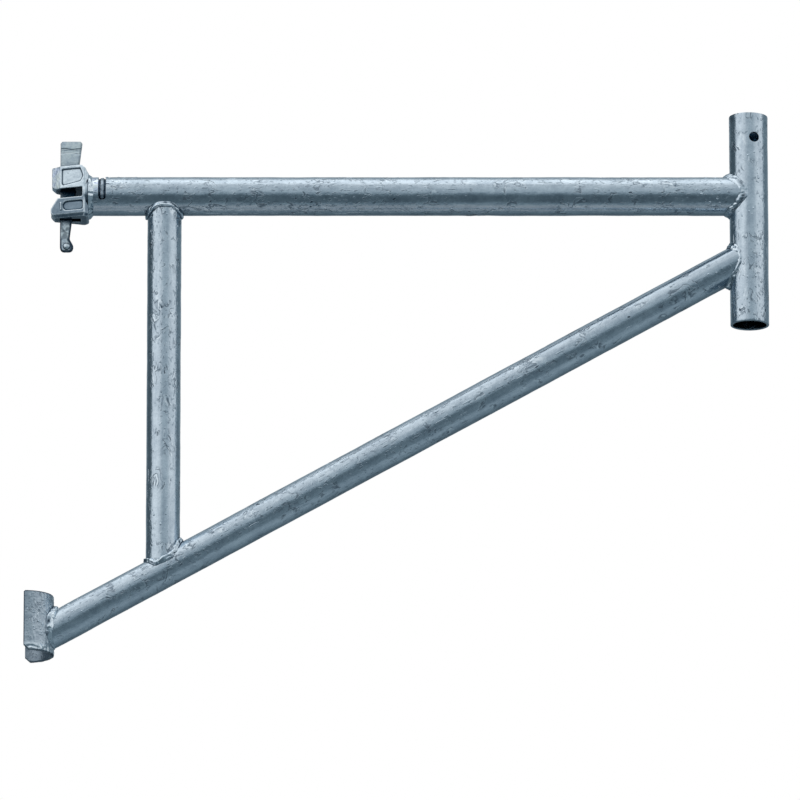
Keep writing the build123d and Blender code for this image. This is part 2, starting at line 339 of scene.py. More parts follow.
def tube_surface(axis, radius, wall, ends, outside, around, seed, wave=0.20):
    """Points of a tube between two end functions, as rows by angles, uneven on the outside alone."""
    rows = tube_rows(wall, outside)
    share, step, depth = (rows[:, [i]] for i in range(3))
    angle = np.linspace(0, 2 * np.pi, around, endpoint=False)[None, :] + 0.0 * share
    even = radius - depth + 0.0 * angle
    start = ends[0](angle, even)
    end = ends[1](angle, even)
    distance = start + share * (end - start) + step
    points = axis.at(angle, even, distance)
    swell = ripples(points, seed, (wave, 34.0), (0.5 * wave, 9.0), (0.2 * wave, 3.0))
    return axis.at(angle, even + swell * (depth < 0.5 * wall), distance)


def straight_end(place):
    """End function for a square cut at a place along the axis."""
    return lambda angle, radius: np.full(angle.shape, float(place))


def coped_end(axis, carrier, carrier_r, leaving, limit=None):
    """End function that follows a carrier's surface, cut short by a limit."""

    def end(angle, radius):
        distance = meeting(axis, angle, radius, carrier, carrier_r, leaving)
        if limit is None:
            return distance
        cut = cut_off(axis, angle, radius, carrier, limit)
        return np.maximum(distance, cut) if leaving else np.minimum(distance, cut)

    return end


def slot_gap(points):
    """Distance outside the edge of the slot over the main tube's top, which is round at its lower ends."""
    away = points[..., 0] - SLOT_MIDDLE
    below = np.minimum(points[..., 2] - (SLOT_LOW + SLOT_HALF_WIDTH), 0.0)
    return np.hypot(away, below) - SLOT_HALF_WIDTH


def slot_groove(points):
    """Depth of the slot, which leaves a thin sole under it."""
    return -(MAIN_WALL - SLOT_SOLE) * (1.0 - ease(slot_gap(points), -0.35, 0.35))


def crowded(x, outside):
    """Places along the main tube, drawn to its start, where the slot is: the first fifth fills 30 mm."""
    length = post_x - main_start
    distance = x - main_start
    share = np.clip(distance / length, 0, 1)
    fine = share / FINE_SHARE * FINE_LENGTH
    coarse = FINE_LENGTH + (share - FINE_SHARE) / (1 - FINE_SHARE) * (length - FINE_LENGTH)
    moved = outside & (distance > RIM_LENGTH) & (distance < length - COPE_LENGTH)
    return np.where(moved, main_start + np.where(share < FINE_SHARE, fine, coarse), x)


def make_main_tube(material):
    """Main tube, whose slot is a groove with soft lips, and painted shade on its sides."""
    ends = (straight_end(main_start), coped_end(main_axis, post_axis, post_r, False, POST_LIMIT))
    points = tube_surface(main_axis, main_r, MAIN_WALL, ends, outside=350, around=256, seed=11, wave=0.0)
    outside = np.hypot(points[..., 1], points[..., 2]) > main_r - 0.5 * MAIN_WALL
    points[..., 0] = crowded(points[..., 0], outside)
    swell = ripples(points, 11, (0.20, 30.0), (0.09, 8.0), (0.03, 3.0))
    swell = (swell + slot_groove(points)) * outside
    away = unit(points * np.array([0.0, 1.0, 1.0]) + 1e-9)
    points = points + away * swell[..., None]
    # Painted shade in the slot and along its edge
    edge = -(1.0 - ease(slot_gap(points), 0.1, 1.1)) * outside
    mesh = ring_mesh("zinc_main_tube", points, edge)
    return finish_piece(mesh, material, "frame", ["main_tube"])


def make_strut_tube(material):
    """Strut, coped to the main tube's underside and cut parallel to the diagonal."""
    ends = (
        coped_end(strut_axis, main_axis, main_r, True, STRUT_TOP_LIMIT),
        coped_end(strut_axis, diagonal_axis, brace_r, False, STRUT_LIMIT),
    )
    points = tube_surface(strut_axis, brace_r, BRACE_WALL, ends, outside=260, around=160, seed=21)
    mesh = ring_mesh("zinc_strut_tube", points)
    return finish_piece(mesh, material, "frame", ["strut_tube"])


def make_diagonal_tube(material):
    """Diagonal, coped to the foot and to the post."""
    ends = (
        coped_end(diagonal_axis, foot_axis, foot_r, True),
        coped_end(diagonal_axis, post_axis, post_r, False),
    )
    points = tube_surface(diagonal_axis, brace_r, BRACE_WALL, ends, outside=400, around=160, seed=31)
    mesh = ring_mesh("zinc_diagonal_tube", points)
    return finish_piece(mesh, material, "frame", ["diagonal_tube"])


def post_rows():
    """Heights and depths of the post's rows: up the outside, over the rim, down the inside, round the end.

    Also how many rows one face has, and which of them is at the pin hole's lowest point.
    """
    low, high, rim = post_low[2], post_high[2], TUBE_ROUNDING
    below = np.linspace(low + rim, hole_z - PIN_HOLE_R, 90)
    beside = np.linspace(hole_z - PIN_HOLE_R, hole_z + PIN_HOLE_R, HOLE_ROWS + 1)[1:-1]
    above = np.linspace(hole_z + PIN_HOLE_R, high - rim, 20)
    face = np.concatenate([below, beside, above])
    drop = np.array([0.2 * rim, 0.0, 0.0, 0.2 * rim])
    inward = np.array([0.25 * rim, rim, POST_WALL - rim, POST_WALL - 0.25 * rim])
    heights = np.concatenate([face, high - drop, face[::-1], low + drop])
    depths = np.concatenate([0 * face, inward, 0 * face + POST_WALL, inward[::-1]])
    return heights, depths, len(face), len(below) - 1


def post_angles():
    """Angles from the pin hole's middle, round the post: even beside each hole, and even between them."""
    half_angle = math.asin(PIN_HOLE_R / post_r)
    beside = np.linspace(-half_angle, half_angle, HOLE_COLUMNS + 1)
    between = np.linspace(half_angle, math.pi - half_angle, 81)[1:-1]
    half_turn = np.concatenate([beside, between])
    return np.concatenate([half_turn, half_turn + math.pi])


def drawn_to_hole(turn, height, radius):
    """Angle and height of each point once the grid's square round the hole is drawn on to its round edge.

    The pull is full at the edge and none at three times its radius. The third value is how far the point
    was from the hole's middle.
    """
    sideways = np.sin(turn) * post_r
    rise = height - hole_z
    square = np.maximum(np.abs(sideways), np.abs(rise))
    from_hole = np.maximum(np.hypot(sideways, rise), 1e-6)
    pull = 1.0 - ease(square, PIN_HOLE_R, 3.0 * PIN_HOLE_R)
    factor = 1.0 + pull * (square / from_hole - 1.0)
    sideways = sideways * factor
    outer = np.arcsin(np.clip(sideways / post_r, -1, 1))
    own = np.arcsin(np.clip(sideways / radius, -1, 1))
    mixed = outer + (own - outer) * pull
    angle = np.where(np.cos(turn) >= 0, mixed, math.pi - mixed) + PIN_HOLE_TURN
    return angle, hole_z + rise * factor, from_hole


def pin_hole_faces(quads, around, face_rows, first_row):
    """Quads of the post less those in its holes, and with a wall from each outer edge to its inner one."""
    last_row = first_row + HOLE_ROWS
    behind = 2 * face_rows + RIM_ROWS - 1
    row = quads[:, 0] // around
    inner_row = behind - 1 - row
    in_rows = (row >= first_row) & (row < last_row)
    in_rows = in_rows | ((inner_row >= first_row) & (inner_row < last_row))
    in_hole = in_rows & (quads[:, 0] % around % (around // 2) < HOLE_COLUMNS)
    columns = np.arange(HOLE_COLUMNS)
    rows = np.arange(HOLE_ROWS)
    ring_row = np.concatenate([0 * columns, rows, 0 * columns + HOLE_ROWS, HOLE_ROWS - rows]) + first_row
    ring_column = np.concatenate([columns, 0 * rows + HOLE_COLUMNS, HOLE_COLUMNS - columns, 0 * rows])
    parts = [quads[~in_hole]]
    for first_column in (0, around // 2):
        outer = ring_row * around + ring_column + first_column
        inner = (behind - ring_row) * around + ring_column + first_column
        parts.append(np.stack([outer, np.roll(outer, -1), np.roll(inner, -1), inner], axis=-1))
    return np.concatenate(parts)


def make_post_tube(material):
    """End post: its grid is drawn to the pin hole's edge, and points left over in the hole are dropped."""
    heights, depths, face_rows, first_row = post_rows()
    turn, height = np.meshgrid(post_angles(), heights)
    depth = depths[:, None] + 0.0 * turn
    radius = post_r - depth
    angle, height, from_hole = drawn_to_hole(turn, height, radius)
    points = post_axis.at(angle, radius, height)
    swell = ripples(points, 41, (0.20, 34.0), (0.09, 8.0))
    swell = swell * (depth < 0.5 * POST_WALL) * ease(from_hole, PIN_HOLE_R, 2.0 * PIN_HOLE_R)
    points = post_axis.at(angle, radius + swell, height)
    around = turn.shape[1]
    quads = pin_hole_faces(grid_faces(len(heights), around, True, True), around, face_rows, first_row)
    used, quads = np.unique(quads, return_inverse=True)
    mesh = new_mesh("zinc_post_tube", points.reshape(-1, 3)[used], quads.reshape(-1, 4))
    return finish_piece(mesh, material, "frame", ["post_tube"], sharp_angle=40.0)


# Foot, wedge and rivet


def section_pattern(along_steps, side_steps, corner_steps):
    """Closed rounded rectangle as shares of its straight half sizes and of its corner radius."""
    quarter = np.linspace(0, np.pi / 2, corner_steps)
    cx, cy = np.cos(quarter), np.sin(quarter)
    across = np.linspace(1, -1, along_steps + 2)[1:-1]
    side = np.linspace(1, -1, side_steps + 2)[1:-1]
    one = np.ones(corner_steps)
    parts = [(one, cx, one, cy), (across, 0 * across, 0 * across + 1, 0 * across + 1)]
    parts += [(-one, -cx[::-1], one, cy[::-1]), (0 * side - 1, 0 * side - 1, side, 0 * side)]
    parts += [(-one, -cx, -one, -cy), (-across, 0 * across, 0 * across - 1, 0 * across - 1)]
    parts += [(one, cx[::-1], -one, -cy[::-1]), (0 * side + 1, 0 * side + 1, -side, 0 * side)]
    return [np.concatenate([part[i] for part in parts])[None, :] for i in range(4)]


def rounded_section(half_width, half_depth, corner, steps):
    """Places across and deep round a rounded rectangle, whose half sizes may change from row to row."""
    straight_x, corner_x, straight_y, corner_y = section_pattern(*steps)
    across = straight_x * (half_width - corner) + corner_x * corner
    deep = straight_y * (half_depth - corner) + corner_y * corner
    return across, deep


def capped_mesh(name, points, edge):
    """Mesh of a stack of closed sections, each end closed with a point in its middle."""
    rows, columns = points.shape[:2]
    centres = np.array([points[0].mean(0), points[-1].mean(0)])
    ring = np.arange(columns)
    turned = np.roll(ring, -1)
    start = np.stack([ring, turned, np.full(columns, rows * columns)], axis=-1)
    last_row = (rows - 1) * columns
    end = np.stack([last_row + turned, last_row + ring, np.full(columns, rows * columns + 1)], axis=-1)
    flat = np.concatenate([points.reshape(-1, 3), centres])
    return new_mesh(name, flat, grid_faces(rows, columns, False, True), np.concatenate([start, end]), edge)


def paired_mesh(name, points, edge):
    """Mesh of a stack of bent sections, each end closed by pairing points across the wall."""
    rows, columns = points.shape[:2]
    near = np.arange(columns // 2 - 1)
    far = columns - 1 - near
    lid = np.stack([near, near + 1, far - 1, far], axis=-1)
    quads = [grid_faces(rows, columns, False, True), lid, (rows - 1) * columns + lid[:, ::-1]]
    return new_mesh(name, points, np.concatenate(quads), edge=edge)


def end_levels(low, high, steps, round_end):
    """Heights crowded at both rounded ends, and how far a quarter circle draws the surface in at each."""
    turn = np.linspace(0, np.pi / 2, 7)
    start = low + round_end * (1 - np.cos(turn))
    middle = np.linspace(low + round_end, high - round_end, steps)[1:-1]
    levels = np.concatenate([start, middle, (low + high) - start[::-1]])
    reach = np.minimum(np.minimum(levels - low, high - levels), round_end)
    inset = round_end - np.sqrt(np.maximum(round_end ** 2 - (round_end - reach) ** 2, 0.0))
    return levels[:, None], inset[:, None]


def make_foot(material):
    """Half-pipe foot: arcs about the upright's axis, stippled by zinc and with a lumpy lower lip."""
    z, inset = end_levels(foot_bottom, foot_top, 120, 0.9)
    middle_r = foot_r - FOOT_WALL / 2
    clip = np.maximum(FOOT_CORNER - (z - foot_bottom), 0.0)
    clip = np.maximum(clip, FOOT_TOP_CORNER - (foot_top - z))
    half_arc = np.arccos(clip / middle_r) * middle_r
    arc, deep = rounded_section(half_arc, FOOT_WALL / 2 - inset, 1.0, (150, 6, 6))
    angle = arc / middle_r
    outward = np.stack([np.cos(angle), np.sin(angle), 0.0 * angle], axis=-1)
    radius = middle_r + deep
    points = np.stack([radius * np.cos(angle), radius * np.sin(angle), z + 0.0 * radius], axis=-1)
    face = ease(deep, 1.0, 2.6)
    lip = (1.0 - ease(z, foot_bottom + 3.0, foot_bottom + 11.0)) * face
    drips = np.abs(noise(points, 5.0, 53))
    swell = 0.42 * np.abs(noise(points, 3.4, 51)) + 0.18 * noise(points, 8.0, 52) - 0.25
    swell = swell + lip * (2.2 * drips + 0.1)
    swell = np.where(face > 0, swell, 0.05 * noise(points, 4.0, 54))
    points = points + outward * swell[..., None] * (inset < 0.5)[..., None]
    # Painted light: a painted highlight on the lumps of the lower lip, painted shade along the edges, and
    # painted shade on the inner surface
    rim = np.minimum(z - foot_bottom, foot_top - z) + 0.0 * radius
    outline = 1.0 - ease(np.minimum(rim, half_arc - np.abs(arc)), 0.5, 1.7)
    painted_light = ease(np.abs(noise(points, 5.0, 53)), 0.06, 0.22) * lip
    edge = (painted_light - outline) * ease(deep, 0.5, 1.5) - 0.45 * ease(-deep, 0.5, 1.5)
    mesh = paired_mesh("zinc_foot", points, edge)
    return finish_piece(mesh, material, "frame", ["foot_saddle"])


def wedge_sides(z, inset):
    """Front and back of the wedge at each height: straight in front, slanted behind, with a round boss."""
    front = wedge_low[0]
    slanted = front + WEDGE_WIDTH_AT_MIDDLE + WEDGE_TAPER * z
    narrow = front + WEDGE_WIDTH_AT_MIDDLE + WEDGE_TAPER * BOSS_TOP
    boss = narrow + (front + BOSS_WIDTH - narrow) * ease(-z, -BOSS_TOP - 1.0, -RIVET_Z + 1.0)
    back = np.where(z > BOSS_TOP, slanted, boss)
    foot = np.clip((RIVET_Z - z) / (RIVET_Z - wedge_bottom), 0.0, 1.0)
    corner = 4.5 * (1.0 - np.sqrt(np.maximum(1.0 - foot ** 2, 0.0)))
    corner = corner + 0.3 * inset + 1.6 * ease(z, wedge_top - 3.0, wedge_top)
    return front + corner, back - corner


def wedge_marks(points, from_front, from_back, z, wavy, crease):
    """Painted shade along the wedge's edges, round its boss and in its creases, its stains and hairlines,
    and a painted highlight under its lower crease.
    """
    below = 1.0 - ease(z, *BELOW_MOUTH)
    from_edge = np.minimum(from_front, from_back)
    from_edge = np.minimum(from_edge, np.minimum(z - wedge_bottom, wedge_top - z))
    from_edge = np.minimum(from_edge, 0.55 * from_back)
    boss_rim = ease(-z, -BOSS_TOP - 4.0, -BOSS_TOP + 2.0)
    outline = 1.0 - ease(from_edge, 0.7, 1.7)
    outline = np.maximum(outline, boss_rim * (1.0 - ease(from_edge, 1.4, 2.8)))
    outline = outline * (0.45 + 0.55 * below)
    stain = 0.55 * below * ease(ripples(points, 64, (1.0, 4.2), (0.5, 2.1)), -0.25, 0.35)
    hairline = 0.8 * ease(1.0 - np.abs(noise(points, 9.0, 66)) / 0.07, 0.0, 1.0) * below
    gleam = 0.6 * ease(wavy, 53.2, 54.2) * (1.0 - ease(wavy, 54.4, 55.0))
    return gleam - np.maximum(np.maximum(outline, 0.75 * crease), np.maximum(stain, hairline))


def make_wedge(material):
    """Forged wedge: a rounded section at each height, with two forging creases near the top."""
    z, inset = end_levels(wedge_bottom, wedge_top, 330, 2.2)
    front, back = wedge_sides(z, inset)
    half_thick = wedge_high[1] - 0.35 * inset
    x, y = rounded_section((back - front) / 2, half_thick, 1.3, (26, 5, 6))
    x = (front + back) / 2 + x
    points = np.stack([x, y, z + 0.0 * x], axis=-1)
    upper, lower = WEDGE_CREASES
    wavy = z + 1.3 * noise(points, 9.0, 63)
    crease = np.exp(-(((wavy - upper) / 0.5) ** 2)) + 0.8 * np.exp(-(((wavy - lower) / 0.45) ** 2))
    swell = ripples(points, 61, (0.10, 5.0), (0.07, 2.0)) - 0.15 - 0.55 * crease
    swell = swell - 0.4 * ease(wavy, lower, lower + 1.6) * (1.0 - ease(wavy, upper - 2.6, upper))
    points[..., 1] += np.sign(y) * swell * ease(np.abs(y), 1.0, 2.0)
    edge = wedge_marks(points, x - front, back - x, z, wavy, crease)
    mesh = capped_mesh("forged_wedge", points, edge)
    return finish_piece(mesh, material, "wedge", ["wedge"])


def make_rivet(material):
    """Rivet turned about its axis: hammered dome, brim, shank, and the same on the far side."""
    centre_x = (rivet_low[0] + rivet_high[0]) / 2
    centre_z = (rivet_low[2] + rivet_high[2]) / 2
    reach = rivet_high[1]
    head_r = (rivet_high[0] - rivet_low[0]) / 2
    seat = wedge_high[1] - 0.2
    profile = [(0.3, reach), (1.4, reach - 0.05), (2.4, reach - 0.3), (3.1, reach - 0.75)]
    profile += [(3.6, reach - 1.25), (4.1, reach - 1.5), (head_r - 0.1, reach - 1.9), (head_r, seat + 0.4)]
    profile += [(head_r - 0.2, seat), (3.0, seat - 0.2)]
    near = np.array(profile)
    both = np.concatenate([near, (near * [1, -1])[::-1]])
    angle = np.linspace(0, 2 * np.pi, 72, endpoint=False)
    radius = both[:, [0]] + 0 * angle
    depth = both[:, [1]] + 0 * angle
    x = centre_x + radius * np.cos(angle)
    points = np.stack([x, depth, centre_z + radius * np.sin(angle)], axis=-1)
    dent = np.minimum(0.28 * noise(points, 2.2, 71), 0.0)
    points[..., 0] += (x - centre_x) * 0.05 * noise(points, 3.5, 72)
    points[..., 1] += np.sign(depth) * dent * ease(np.abs(depth), seat, seat + 0.6)
    # Painted highlight on the middle of the dome, and painted shade towards its brim
    edge = 0.7 * (1.0 - ease(radius, 2.2, 3.0)) - ease(radius, 3.3, 4.0)
    mesh = capped_mesh("hammered_rivet", points, edge)
    return finish_piece(mesh, material, "wedge", ["wedge_rivet"])


# Cast head


def smoothed_mesh(piece, soften, steps):
    """Mesh of a piece after a number of smoothing steps."""
    soften.iterations = steps
    graph = bpy.context.evaluated_depsgraph_get()
    return bpy.data.meshes.new_from_object(piece.evaluated_get(graph))


def mesh_values(mesh, kind):
    """Places or normals of a mesh's points, a row for each."""
    values = np.empty(len(mesh.vertices) * 3, np.float32)
    mesh.vertices.foreach_get(kind, values)
    return values.reshape(-1, 3)


def make_head(material):
    """Casting with rounded edges: the CAD head merged, remeshed, smoothed and roughened.

    An edge stands out from a copy that is smoothed until it melts, and a crease lies behind it; edges get a
    painted highlight, and creases painted shade.
    """
    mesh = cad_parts["wedge_head"].data.copy()
    mesh.materials.clear()
    work = bmesh.new()
    work.from_mesh(mesh)
    bmesh.ops.remove_doubles(work, verts=work.verts, dist=MERGE_GAP)
    work.to_mesh(mesh)
    work.free()
    rough = bpy.data.objects.new("rough_head", mesh)
    bpy.context.scene.collection.objects.link(rough)
    remesh = rough.modifiers.new("Remesh", "REMESH")
    remesh.mode = "VOXEL"
    remesh.voxel_size = CAST_STEP * MM
    soften = rough.modifiers.new("Smooth", "SMOOTH")
    soften.factor = 0.5
    melted = smoothed_mesh(rough, soften, MELTED_SMOOTHING)
    cast = smoothed_mesh(rough, soften, CAST_SMOOTHING)
    cast.name = "cast_head"
    bpy.data.objects.remove(rough)
    place = mesh_values(cast, "co") / MM
    normal = mesh_values(cast, "normal")
    stands_out = ((place - mesh_values(melted, "co") / MM) * normal).sum(-1)
    bpy.data.meshes.remove(melted)
    grain = ripples(place, 81, (0.10, 7.0), (0.07, 2.4), (0.04, 1.2))
    place = place + normal * grain[:, None]
    cast.vertices.foreach_set("co", (place * MM).astype(np.float32).ravel())
    cast.update()
    # Painted highlight on edges that stand out, and painted shade in creases
    mark_edges(cast, np.sign(stands_out) * ease(np.abs(stands_out), 0.05, 0.24))
    return finish_piece(cast, material, "frame", ["wedge_head"], sharp_angle=180.0)


# Weld beads


def bead_seam(axis, angle, radius, carrier, carrier_r, leaving, limit):
    """Curve where a tube's outside meets its carrier, blended into a flat cut where a limit is given."""
    distance = meeting(axis, angle, radius, carrier, carrier_r, leaving)
    if limit is not None:
        sign = -1.0 if leaving else 1.0
        cut = cut_off(axis, angle, radius, carrier, limit)
        distance = sign * softer_of(sign * distance, sign * cut)
    return axis.at(angle, radius, distance)


def bead_toes(seam, tube_out, carrier_out, away, carrier, carrier_r, legs, thinner, seed):
    """Both edges of a bead, a little under the surface: up the tube, and out over the carrier."""
    tube_leg = legs[0] * (1 + ripples(seam, seed, (0.22, 13.0), (0.16, 4.5))) * thinner
    carrier_leg = legs[1] * (1 + ripples(seam, seed + 2, (0.22, 11.0), (0.16, 4.0))) * thinner
    spread = tube_out - 0.35 * away
    spread = unit(spread - (spread * carrier_out).sum(-1)[:, None] * carrier_out)
    on_tube = seam + away * tube_leg[:, None] - tube_out * TOE_DEPTH
    on_carrier = seam + spread * carrier_leg[:, None]
    outward = carrier.across(on_carrier)
    return on_tube, on_carrier - outward + unit(outward) * (carrier_r - TOE_DEPTH)


def bead(
    name, node, axis, radius, carrier, carrier_r, leaving, legs, bulge, ridges, seed, material,
    limit=None, thin=(0.0, 0.0, 0.0), rough=1.0,
):
    """Closed bead along the curve where a tube meets its carrier, at the start of the tube if it is leaving.

    The legs are its reach up the tube and over the carrier, and waver with slow noise. The bulge is its
    height over the slope between them. Ridges is how many waves lie across it. The bead is thinner in the
    direction thin, and rough scales its ridges, lumps, painted highlights and painted shade.
    """
    steps, across, under = 420, 18, 5
    angle = np.linspace(0, 2 * np.pi, steps, endpoint=False)
    seam = bead_seam(axis, angle, radius, carrier, carrier_r, leaving, limit)
    tube_out = axis.outward(angle)
    carrier_out = unit(carrier.across(seam))
    away = axis.along * (1.0 if leaving else -1.0)
    both_sides = np.where([False, True, False], np.abs(tube_out), tube_out)
    thinner = 1.0 - np.maximum(both_sides @ np.array(thin), 0.0)
    toes = bead_toes(seam, tube_out, carrier_out, away, carrier, carrier_r, legs, thinner, seed)
    on_tube, on_carrier = (toe[:, None, :] for toe in toes)
    share = np.linspace(0, 1, across)[None, :, None]
    chord = on_tube * (1 - share) + on_carrier * share
    hump = np.sin(np.pi * share[..., 0])
    wander = ripples(seam, seed + 7, (1.0, 8.0), (0.4, 3.0))
    ridge = -np.cos(2 * np.pi * (ridges * share[..., 0] + 0.30 * wander[:, None]))
    ridge = ridge * (0.35 + 0.65 * ease(noise(seam, 12.0, seed + 6), -0.5, 0.2))[:, None]
    lumps = 1.2 * noise(chord, 9.0, seed + 4) + 0.9 * np.abs(noise(chord, 4.0, seed + 5)) + 0.1
    lift = bulge * (1 + 0.35 * noise(seam, 4.5, seed + 1)[:, None]) + (0.5 * ridge + lumps) * rough
    lift = lift * hump ** 0.75 * (0.4 + 0.6 * thinner)[:, None]
    crown = unit(tube_out + carrier_out)[:, None, :]
    top = chord + crown * lift[..., None]
    root = seam[:, None, :] - crown * 1.2
    back_share = np.linspace(0, 1, under + 2)[1:-1][None, :, None]
    sink = np.sin(np.pi * back_share)
    below = (on_carrier * (1 - back_share) + on_tube * back_share) * (1 - sink) + root * sink
    # Painted light: painted highlights on the ridges and lumps, and painted shade along both toes
    toe = ease(hump, 0.12, 0.42)
    shine = 0.75 * ridge + ripples(chord, seed + 9, (0.9, 4.5), (0.5, 1.8)) + 0.15
    painted_light = (np.clip(shine, -0.9, 1.0) * toe - 0.9 * (1.0 - toe)) * rough
    edge = np.concatenate([painted_light, np.zeros((steps, under))], axis=1)
    mesh = ring_mesh(name, np.concatenate([top, below], axis=1), edge)
    return finish_piece(mesh, material, "frame", [node], sharp_angle=75.0)


def make_head_weld(material):
    """Fillet between the casting and the main tube: a sagging slope round the tube, closed underneath."""
    steps, across, under = 300, 22, 4
    start = head_back - 0.8
    angle = np.linspace(0, 2 * np.pi, steps, endpoint=False)[:, None]
    share = np.linspace(0, 1, across)[None, :]
    seam = main_axis.at(angle, main_r, 79.0)
    length = 6.4 + 0.9 * noise(seam, 9.0, 90)
    down = np.sin(angle)
    height = 3.6 + 2.5 * np.maximum(down, 0.0) ** 3 + 0.7 * np.maximum(-down, 0.0) ** 3
    height = height + 0.4 * noise(seam, 7.0, 94)
    along = start + (length + 0.8) * share
    middle = main_axis.at(angle + 0 * share, main_r, along)
    lumps = 1.5 * np.abs(noise(middle, 6.0, 91)) + 0.7 * np.abs(noise(middle, 2.8, 92)) - 0.5
    fall = 1.6 - 0.5 * np.maximum(down, 0.0)
    out = main_r - TOE_DEPTH + height * (1.0 - share) ** fall + lumps * np.sin(np.pi * share) ** 0.7
    back = np.linspace(1, 0, under)[None, :]
    along = np.concatenate([along, start + length * back], axis=1)
    out = np.concatenate([out, main_r - 1.0 + 0.0 * angle + 0.0 * back], axis=1)
    points = main_axis.at(angle + 0 * along, out, along)
    # Painted light: painted highlights on the lumps, and painted shade along both toes
    toe = ease(share, 0.0, 0.12) * (1.0 - ease(share, 0.90, 1.0))
    painted_light = np.clip((lumps - 0.1) / 0.5, -1.0, 1.0) * toe - 0.9 * (1.0 - toe)
    edge = np.concatenate([painted_light, np.zeros((steps, under))], axis=1)
    mesh = ring_mesh("weld_bead_head", points, edge)
    return finish_piece(mesh, material, "frame", ["weld_head"], sharp_angle=75.0)


def make_slot_plug(material):
    """Weld metal in the slot: a lumpy strip bent over the tube, below its face, with a middle ridge."""
    low = -math.asin((SLOT_LOW + 1.0) / main_r)
    angle = np.linspace(low, -math.pi - low, 150)[:, None]
    half = SLOT_HALF_WIDTH - 0.05
    straight_x, corner_x, straight_y, corner_y = section_pattern(16, 3, 4)
    end = np.minimum(low - angle, angle + math.pi + low) * main_r
    narrow = np.sqrt(np.clip(1 - (1 - np.minimum(end / half, 1.0)) ** 2, 0.02, 1.0))
    x = SLOT_MIDDLE + (straight_x * (half - 0.4) + corner_x * 0.4) * narrow
    off_centre = np.abs(x - SLOT_MIDDLE) / half
    middle = main_axis.at(angle + 0 * x, main_r, x)
    lumps = ripples(middle, 95, (0.30, 4.0), (0.20, 1.8))
    crown = (1.5 * (1.0 - ease(off_centre, 0.30, 0.75)) + lumps) * (straight_y > 0)
    radius = main_r - 3.1 + straight_y * 0.4 + corner_y * 0.3 + crown
    points = main_axis.at(angle + 0 * x, np.minimum(radius, main_r - 0.4), x)
    # Painted shade over the whole plug, darkest towards its sides
    edge = -0.45 - 0.5 * ease(off_centre, 0.30, 0.62)
    mesh = capped_mesh("weld_plug_slot", points, edge)
    return finish_piece(mesh, material, "frame", ["slot_weld"], sharp_angle=75.0)


# Lumps and runs of zinc


def lump_points(centre, outward, along, length, width, height):
    """Closed stretched balls, one for each row of the arrays, half sunk in the surface under them."""
    polar = np.linspace(0.0, np.pi, 9)[None, :, None]
    turn = np.linspace(0.0, 2 * np.pi, 16, endpoint=False)[None, None, :]
    across = np.cross(outward, along)
    ring = np.sin(polar)
    points = centre[:, None, None, :]
    points = points + (ring * np.cos(turn) * length[:, None, None])[..., None] * along[:, None, None, :]
    points = points + (ring * np.sin(turn) * width[:, None, None])[..., None] * across[:, None, None, :]
    rise = (np.cos(polar) + 0.0 * turn) * height[:, None, None]
    points = points + rise[..., None] * outward[:, None, None, :]
    return points + 0.15 * noise(points, 1.6, 201)[..., None] * outward[:, None, None, :]


def make_lumps(name, places, seed, material):
    """Spatter and runs. A place is an axis, a radius, reach along, reach of angle, how many, and sizes."""
    random = np.random.default_rng(seed)
    parts = []
    for axis, radius, (low, high), (from_angle, to_angle), count, sizes in places:
        angle = np.radians(random.uniform(from_angle, to_angle, count))
        distance = random.uniform(low, high, count)
        scale = random.uniform(0.55, 1.3, count)
        centre = axis.at(angle, radius - 0.12, distance)
        outward = axis.outward(angle)
        along = np.broadcast_to(axis.along, outward.shape)
        stretch = random.uniform(0.7, 1.4, count)
        length, width, height = (size * scale for size in sizes)
        parts.append(lump_points(centre, outward, along, length * stretch, width, height))
    points = np.concatenate(parts)
    one = grid_faces(points.shape[1], points.shape[2], False, True)
    step = points.shape[1] * points.shape[2]
    quads = (one[None, :, :] + step * np.arange(len(points))[:, None, None]).reshape(-1, 4)
    return finish_piece(new_mesh(name, points, quads), material, "frame")


# Materials

LIGHT = (0.66, 0.775, 0.87, 1.0)
DARK = (0.42, 0.515, 0.605, 1.0)
WEDGE_LIGHT = (0.86, 0.97, 1.0, 1.0)
WEDGE_DARK = (0.50, 0.61, 0.73, 1.0)
WELD_LIGHT = (0.75, 0.87, 0.97, 1.0)
WELD_DARK = (0.46, 0.57, 0.67, 1.0)
FOOT_LIGHT = (0.56, 0.66, 0.74, 1.0)
FOOT_DARK = (0.35, 0.43, 0.51, 1.0)
# Darkest tone, for dark marks and painted shade; and the colour of painted highlights and bright flecks
DEEP = (0.006, 0.036, 0.075, 1.0)
CREST = (0.80, 0.91, 0.99, 1.0)
WHITE = (1.0, 1.0, 1.0, 1.0)

# How far ambient occlusion looks for the painted shade, in metres
HOLLOW_REACH = 0.08
CORNER_REACH = 0.004


